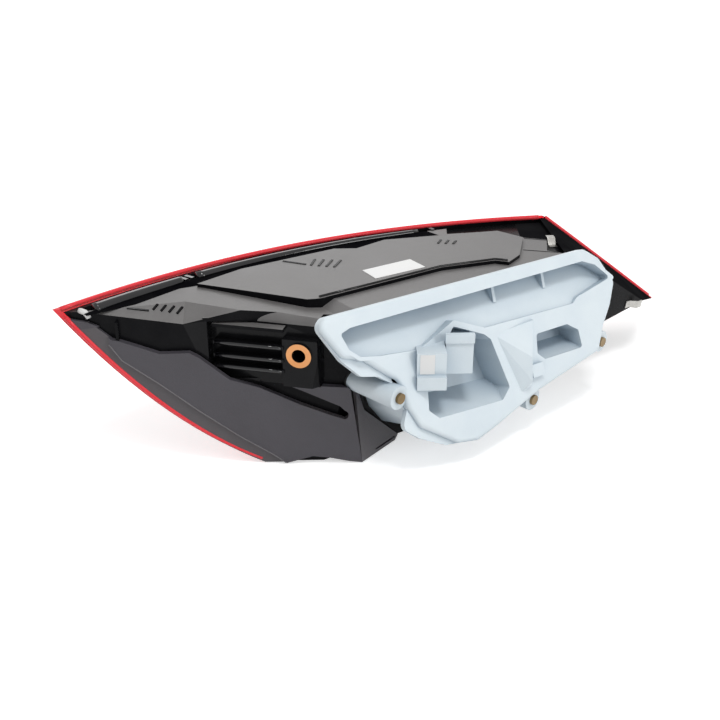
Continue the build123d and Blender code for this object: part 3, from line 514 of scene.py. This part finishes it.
# Bead along the front edge of the raised area
BEAD = ((40.5, -9.2), (72, -9.5), (104, -9.8), (140, -10.2), (162, -16), (181.5, -21.2), (187, -28.5))
BEAD_R, BEAD_UP = 0.9, 0.3
bead_points = [point + UP * BEAD_UP for point in laid(BEAD)]
tube("front_bead", bead_points, [BEAD_R] * len(BEAD), "gloss_black")

# Seams of the top wall's right corner
SEAMS = (((217, -13), (234, -32)), ((236, 6), (247, -7)))
SEAM_WIDE, SEAM_HIGH, SEAM_SINK = 0.7, 0.25, 0.2
seam_ends = [laid(seam) for seam in SEAMS]
bars("corner_seams", seam_ends, SEAM_WIDE, SEAM_HIGH, SEAM_SINK, "black_body")

# Fin on the end wall
FIN_AT, FIN_LOW, FIN_TALL, FIN_OUT, FIN_WIDE = -89.5, 92.0, 12.5, 3.0, 1.8
fin_ends = [(on_end(FIN_AT, FIN_LOW), on_end(FIN_AT, FIN_LOW, FIN_OUT))]
bars("end_fin", fin_ends, FIN_WIDE, FIN_TALL, 0, "black_body")

# Upper tip of the end panel, as points along the end and their heights
TIP_OUTLINE = ((-118.6, 106.9), (-113.4, 99.8), (-100.5, 101.5), (-107.4, 104.7))
TIP_IN, TIP_OUT = 0.1, 2.2
tip_points = [on_end(along, high, out) for out in (TIP_IN, TIP_OUT) for along, high in TIP_OUTLINE]
add_piece("panel_tip", tip_points, BOX_FACES, "matt_panel")

# Painted highlight: a lighter line along the step of the end panel, for the light its edge catches; as
# points along the end and their heights
CREASE = ((-95, 90), (-88, 78.8), (-65.7, 61.9), (-41.2, 41.5), (-15.8, 22.1), (7, 7), (14.5, 1))
CREASE_OUT, CREASE_R = 4.1, 0.45
crease_highlight_points = [on_end(along, high, CREASE_OUT) for along, high in CREASE]
tube("panel_crease_highlight", crease_highlight_points, [CREASE_R] * len(CREASE), "panel_crease_highlight")

# White glue at the left tip
GLUE = (
    (-92.6, 64.0, 111.0), (-91.6, 62.4, 111.0), (-90.2, 61.0, 110.4), (-89.2, 59.9, 108.5),
    (-88.7, 59.4, 106.8),
)
GLUE_R = 1.9
tube("glue_bead", [Vector(point) for point in GLUE], [GLUE_R] * len(GLUE), "glue_white")

# Red rim along the upper edge of the lens
RIM_STEPS = 40
TOP_RIM_FROM, TOP_RIM_TO = 0.012, 0.99
TOP_RIM_R, TOP_RIM_IN = 1.8, Vector((0, -2.0, -0.9))
top_rim = []
for t in spaced(TOP_RIM_FROM, TOP_RIM_TO, RIM_STEPS):
    top_rim.append(bowed(TIP_LEFT, TOP_PULL, CORNER_RIGHT, t) + TOP_RIM_IN)
tube("lens_top_rim", top_rim, [TOP_RIM_R] * len(top_rim), "lens_rim")

# Red rim along the right edge of the lens, lifted onto the slope
SIDE_RIM_FROM, SIDE_RIM_TO = 0.02, 0.965
SIDE_RIM_R, SIDE_RIM_IN, SIDE_RIM_UP = 1.6, Vector((-0.3, -1.4, -0.4)), 0.5
side_rim = []
for t in spaced(SIDE_RIM_FROM, SIDE_RIM_TO, RIM_STEPS):
    point = bowed(CORNER_RIGHT, EDGE_PULL, TIP_RIGHT, t) + SIDE_RIM_IN
    side_rim.append(point + SLOPE_OUT * (SIDE_RIM_UP - (point - SLOPE_AT).dot(SLOPE_OUT)))
tube("lens_side_rim", side_rim, [SIDE_RIM_R] * len(side_rim), "lens_rim")

# Red rim along the left edge of the lens, thinner downwards: a parabola along the end panel and up
END_RIM_HEAD, END_RIM_FOOT = Vector((-120.5, 108.2)), Vector((-1.4, 3.5))
END_RIM_PULL = Vector((-61, 30.1))
END_RIM_R_HEAD, END_RIM_R_FOOT, END_RIM_STEPS = 1.6, 1.0, 15
END_RIM_OUT, END_RIM_BELOW = 1.7, 0.1
# Square to that edge and downwards, in the plane of the end panel
BELOW_EDGE = Vector((-0.546, 0.363, -0.755))
end_radii = spaced(END_RIM_R_HEAD, END_RIM_R_FOOT, END_RIM_STEPS)
end_rim = []
for t, radius in zip(spaced(0, 1, END_RIM_STEPS), end_radii):
    along, high = bowed(END_RIM_HEAD, END_RIM_PULL, END_RIM_FOOT, t)
    end_rim.append(on_end(along, high, END_RIM_OUT) + BELOW_EDGE * END_RIM_BELOW * radius)
tube("lens_end_rim", end_rim, end_radii, "lens_rim")


def seen_directly(tree):
    """One for rays of the camera, reflections and glass; nought for rays that light things."""
    path = tree.nodes.new("ShaderNodeLightPath")
    value = path.outputs["Is Camera Ray"]
    for kind in ("Is Glossy Ray", "Is Transmission Ray"):
        node = tree.nodes.new("ShaderNodeMath")
        node.operation = "MAXIMUM"
        tree.links.new(value, node.inputs[0])
        tree.links.new(path.outputs[kind], node.inputs[1])
        value = node.outputs["Value"]
    return value


# Pale floor that keeps the shadow: size, tones, lift to white, and where the lift grows, in metres
FLOOR_SIZE, FLOOR_GAP = 12.0, 0.0002
FLOOR_SCALE, FLOOR_TONES, FLOOR_ROUGH = 12.0, greys(0.88, 0.91), 0.9
LIFT, LIFT_AWAY = (0.55, 0.85), (0.4, 1.2)


def floor_look():
    """Matt white, lifted to plain white where it is seen, more so away from the lamp."""
    material, tree, shader = new_material("floor")
    tones = ramp(tree, noise(tree, FLOOR_SCALE), WIDE_RANGE, FLOOR_TONES)
    tree.links.new(tones, shader.inputs["Base Color"])
    shader.inputs["Roughness"].default_value = FLOOR_ROUGH
    shader.inputs["Specular IOR Level"].default_value = 0.0
    coords = tree.nodes.new("ShaderNodeTexCoord")
    away = tree.nodes.new("ShaderNodeVectorMath")
    away.operation = "LENGTH"
    tree.links.new(coords.outputs["Object"], away.inputs[0])
    share = tree.nodes.new("ShaderNodeMath")
    share.operation = "MULTIPLY"
    tree.links.new(mapped(tree, away.outputs["Value"], LIFT_AWAY, LIFT), share.inputs[0])
    tree.links.new(seen_directly(tree), share.inputs[1])
    shader.inputs["Emission Color"].default_value = (1.0, 1.0, 1.0, 1.0)
    tree.links.new(share.outputs["Value"], shader.inputs["Emission Strength"])
    return material


bpy.ops.mesh.primitive_plane_add(size=FLOOR_SIZE, location=(0, 0, cad_box[0].z - FLOOR_GAP))
floor = bpy.context.object
floor.name = "floor"
floor.data.materials.append(floor_look())

# White surroundings: their strength as light and where they are seen
SKY_LIGHT, SKY_SEEN = 0.48, 1.0
world = bpy.data.worlds.new("studio")
bpy.context.scene.world = world
world.use_nodes = True
sky = world.node_tree
background = sky.nodes["Background"]
background.inputs["Color"].default_value = (1.0, 1.0, 1.0, 1.0)
sky_strength = mapped(sky, seen_directly(sky), WHOLE_RANGE, (SKY_LIGHT, SKY_SEEN))
sky.links.new(sky_strength, background.inputs["Strength"])

# Square area lights, turned to the lamp's middle: place in metres, size and power
LIGHTS = {
    "key": ((-0.3, -0.6, 1.7), 0.4, 10.5),
    "front": ((0.9, -2.6, 1.0), 0.8, 15),
    "back": ((0.6, 1.2, 1.0), 0.8, 5),
}
LIGHTS_TOWARD = Vector((0, 0, 0.05))
for name, (at, size, power) in LIGHTS.items():
    light_data = bpy.data.lights.new(name, "AREA")
    light_data.size = size
    light_data.energy = power
    light = bpy.data.objects.new(name, light_data)
    light.location = at
    light.rotation_euler = (LIGHTS_TOWARD - Vector(at)).to_track_quat("-Z", "Y").to_euler()
    bpy.context.collection.objects.link(light)

# Camera
camera_data = bpy.data.cameras.new("camera")
camera_data.lens = CAMERA_LENS
camera_data.sensor_width = CAMERA_SENSOR
camera = bpy.data.objects.new("camera", camera_data)
camera.location = place(*CAMERA_AT)
camera.rotation_euler = (radians(90 - CAMERA_PITCH), 0, radians(CAMERA_TURN))
bpy.context.collection.objects.link(camera)
bpy.context.scene.camera = camera
bpy.context.scene.view_settings.view_transform = "Standard"
